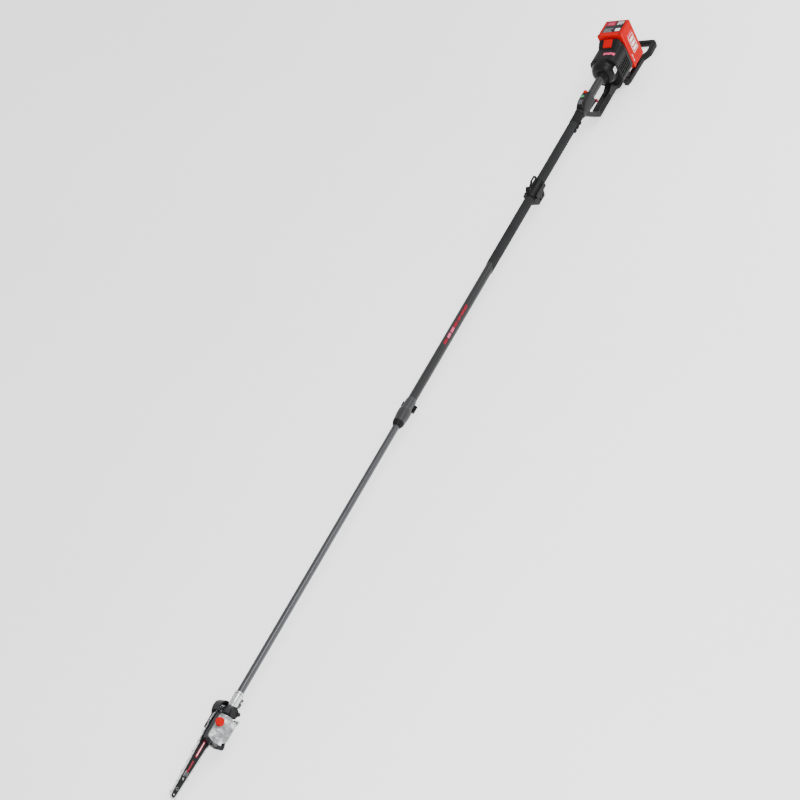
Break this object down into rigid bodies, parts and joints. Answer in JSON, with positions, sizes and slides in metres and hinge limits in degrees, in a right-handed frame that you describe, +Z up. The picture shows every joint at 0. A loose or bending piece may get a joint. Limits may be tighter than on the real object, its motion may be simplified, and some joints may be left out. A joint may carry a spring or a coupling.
{
  "type": "telescoping pole saw",
  "caption": "Battery pole saw: a motor with rear handle and guard drives a shaft through a sliding two-part pole to a small chain bar with oil tank.",
  "frame": {"origin": "below the middle of the tool's box, level with the underside of the rear guard", "axes": "+X forward along the pole to the bar tip, +Y to the left, the oil tank side, +Z up"},
  "size_m": [3.997, 0.136, 0.2143],
  "materials": {
    "pole_paint": "satin grey paint over aluminium tube",
    "sleeve_grip": "matt dark grey grip sleeve",
    "black_plastic": "moulded glass-filled plastic, fine texture",
    "cover_plastic": "moulded dark grey plastic, satin",
    "collar_plastic": "moulded grey plastic, satin",
    "red_plastic": "moulded bright red plastic, semi-gloss",
    "label": "printed film",
    "green_lens": "clear green lens",
    "bright_steel": "zinc-plated steel",
    "shaft_steel": "ground steel",
    "inner_alloy": "drawn aluminium tube, satin",
    "cast_alloy": "cast aluminium, fine grain",
    "copper_pack": "copper windings on a steel core",
    "board": "green circuit board",
    "cell_wrap": "shrink-wrapped cells",
    "bush_plastic": "natural low-friction plastic",
    "tank_plastic": "translucent white polyethylene",
    "bar_paint": "black painted steel",
    "chain_steel": "oiled chain steel",
    "gear_bronze": "bronze",
    "hood_plastic": "moulded grey plastic",
    "hook_steel": "dark painted steel plate"
  },
  "bodies": {
    "powerhead": {"outer_tube": "pole_paint", "grip_sleeve": "sleeve_grip", "harness_clamp_upper": "black_plastic", "harness_clamp_lower": "black_plastic", "harness_clamp_screws": "bright_steel", "lock_collar": "collar_plastic", "collar_bush": "bush_plastic", "lever_pin": "bright_steel", "housing_left": "black_plastic", "housing_right": "black_plastic", "front_cover": "cover_plastic", "stator": "copper_pack", "drive_bearings": "bright_steel", "control_board": "board", "battery_dock": "black_plastic", "terminal_block": "black_plastic", "rear_guard": "black_plastic", "handle_left": "black_plastic", "handle_right": "black_plastic", "trigger_switch": "black_plastic", "control_pod": "black_plastic", "status_light": "green_lens", "housing_screws": "bright_steel"},
    "lock_lever": {"lock_lever": "black_plastic"},
    "trigger": {"trigger": "black_plastic"},
    "lock_off_lever": {"lock_off_lever": "black_plastic"},
    "power_button": {"power_button": "red_plastic"},
    "release_button": {"release_button": "red_plastic"},
    "battery": {"battery_case": "red_plastic", "battery_base": "red_plastic", "battery_cells": "cell_wrap", "battery_label": "label"},
    "motor_line": {"rotor": "shaft_steel", "cooling_fan": "black_plastic", "shaft_coupling": "shaft_steel", "drive_sleeve": "shaft_steel", "sleeve_tip_bush": "bush_plastic"},
    "front_pole": {"inner_tube": "inner_alloy", "inner_bush": "bush_plastic", "shaft_bush": "bush_plastic", "gear_case": "cast_alloy", "gear_case_cover": "hood_plastic", "socket_bolts": "bright_steel", "head_bearings": "bright_steel", "guide_bar": "bar_paint", "saw_chain": "chain_steel", "bar_studs": "bright_steel", "bar_nuts": "bright_steel", "sprocket_cover": "hood_plastic", "oil_tank": "tank_plastic", "oil_pump": "cast_alloy", "limb_hook": "hook_steel", "tension_screw": "bright_steel"},
    "drive_shaft": {"drive_shaft": "shaft_steel", "input_pinion": "gear_bronze"},
    "chain_wheel": {"output_shaft": "shaft_steel", "bevel_gear": "gear_bronze", "drive_sprocket": "shaft_steel"},
    "nose_sprocket": {"nose_sprocket": "shaft_steel"},
    "oil_cap": {"oil_cap": "red_plastic"}
  },
  "joints": [
    {"name": "pole_slide", "type": "slide", "parent": "powerhead", "child": "front_pole", "axis": [-1, 0, 0], "range_m": [0, 1.2]},
    {"name": "lock_lever_swing", "type": "hinge", "parent": "powerhead", "child": "lock_lever", "pos_m": [0.2475, 0.01945, 0.10855], "axis": [1, 0, 0], "range_deg": [0, 100]},
    {"name": "trigger_pull", "type": "hinge", "parent": "powerhead", "child": "trigger", "pos_m": [-1.6355, 0, 0.047], "axis": [0, 1, 0], "range_deg": [0, 10], "stiffness_Nm_per_rad": 0.6},
    {"name": "lock_off_press", "type": "hinge", "parent": "powerhead", "child": "lock_off_lever", "pos_m": [-1.4455, 0, 0.095], "axis": [0, 1, 0], "range_deg": [0, 5], "stiffness_Nm_per_rad": 0.6, "springref_deg": -2.86},
    {"name": "power_button_press", "type": "slide", "parent": "powerhead", "child": "power_button", "axis": [0, 0, -1], "range_m": [0, 0.002], "stiffness_N_per_m": 400, "springref_m": -0.0005},
    {"name": "release_button_press", "type": "slide", "parent": "powerhead", "child": "release_button", "axis": [0, 0, -1], "range_m": [0, 0.003], "stiffness_N_per_m": 500, "springref_m": -0.001},
    {"name": "battery_slide", "type": "slide", "parent": "powerhead", "child": "battery", "axis": [0, 0, 1], "range_m": [0, 0.16]},
    {"name": "motor_spin", "type": "hinge", "parent": "powerhead", "child": "motor_line", "pos_m": [-1.7285, 0, 0.128], "axis": [1, 0, 0], "continuous": true},
    {"name": "shaft_spin", "type": "hinge", "parent": "front_pole", "child": "drive_shaft", "pos_m": [1.6015, 0, 0.128], "axis": [1, 0, 0], "continuous": true},
    {"name": "chain_wheel_spin", "type": "hinge", "parent": "front_pole", "child": "chain_wheel", "pos_m": [1.6465, 0, 0.128], "axis": [0, 1, 0], "continuous": true},
    {"name": "nose_sprocket_spin", "type": "hinge", "parent": "front_pole", "child": "nose_sprocket", "pos_m": [1.9818, -0.027, 0.128], "axis": [0, 1, 0], "continuous": true},
    {"name": "oil_cap_turn", "type": "hinge", "parent": "front_pole", "child": "oil_cap", "pos_m": [1.7085, 0.019, 0.1565], "axis": [0, 0.5, 0.866], "range_deg": [0, 360]}
  ],
  "couplings": [
    {"joint": "shaft_spin", "follows": "motor_spin", "ratio": 1},
    {"joint": "chain_wheel_spin", "follows": "motor_spin", "ratio": 0.5},
    {"joint": "nose_sprocket_spin", "follows": "motor_spin", "ratio": 0.66667}
  ]
}
